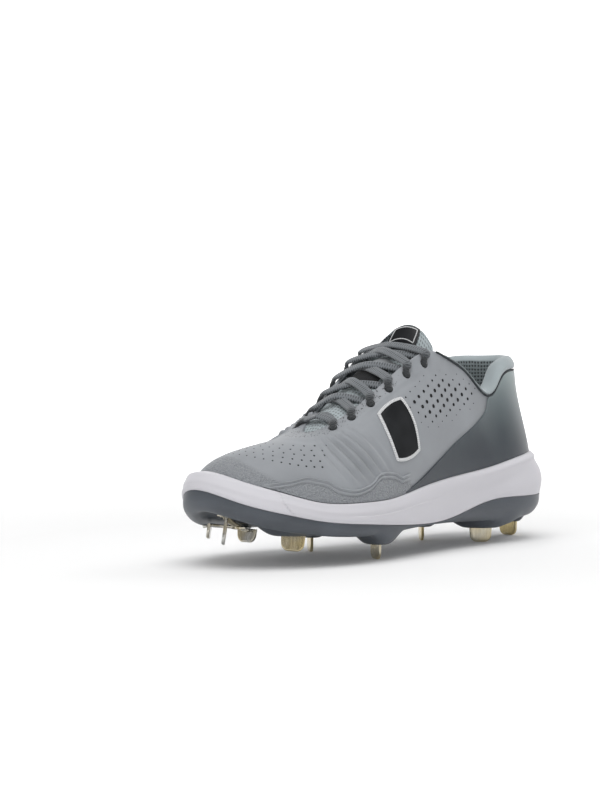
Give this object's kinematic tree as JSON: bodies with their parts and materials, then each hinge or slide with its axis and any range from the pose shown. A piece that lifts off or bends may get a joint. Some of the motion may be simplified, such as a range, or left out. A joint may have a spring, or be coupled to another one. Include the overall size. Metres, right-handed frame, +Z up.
{
  "type": "baseball cleat",
  "caption": "Low-cut baseball shoe for the left foot with a hollow laced upper, padded collar, white foam midsole and steel spikes under a moulded plate.",
  "frame": {"origin": "centre of the footprint's box on the floor that the spikes stand on", "axes": "+X towards the toe, +Y towards the outer (lateral) side, +Z up"},
  "size_m": [0.2958, 0.1064, 0.1396],
  "materials": {
    "upper_skin": "light grey synthetic, satin, fine-grained round the forefoot",
    "counter_skin": "slate grey synthetic, satin",
    "black_film": "black film, semi-gloss",
    "knit": "pale teal-grey spacer mesh",
    "sockliner": "dark grey, matt",
    "lace": "dark grey flat woven lace",
    "midsole_foam": "white moulded foam skin, satin",
    "plate": "slate grey moulded plastic, satin",
    "steel": "plated steel, a little golden"
  },
  "bodies": {
    "root": {"upper": "upper_skin", "midsole": "midsole_foam", "outsole_plate": "plate", "insole": "sockliner", "heel_counter": "counter_skin", "rand_outer": "upper_skin", "rand_inner": "upper_skin", "saddle_outer": "black_film", "saddle_inner": "black_film", "collar_cuff": "knit", "tongue": "knit", "tongue_tag": "black_film", "lace_keeper": "black_film", "lace_bar_top": "lace", "lace_cross_1": "lace", "lace_cross_2": "lace", "lace_cross_3": "lace", "lace_cross_4": "lace", "lace_cross_5": "lace", "front_spike_bracket": "steel", "spike_fore_outer": "steel", "spike_ball_inner": "steel", "spike_ball_outer": "steel", "spike_heel_inner": "steel", "spike_heel_outer": "steel", "spike_heel_rear": "steel"}
  },
  "joints": []
}
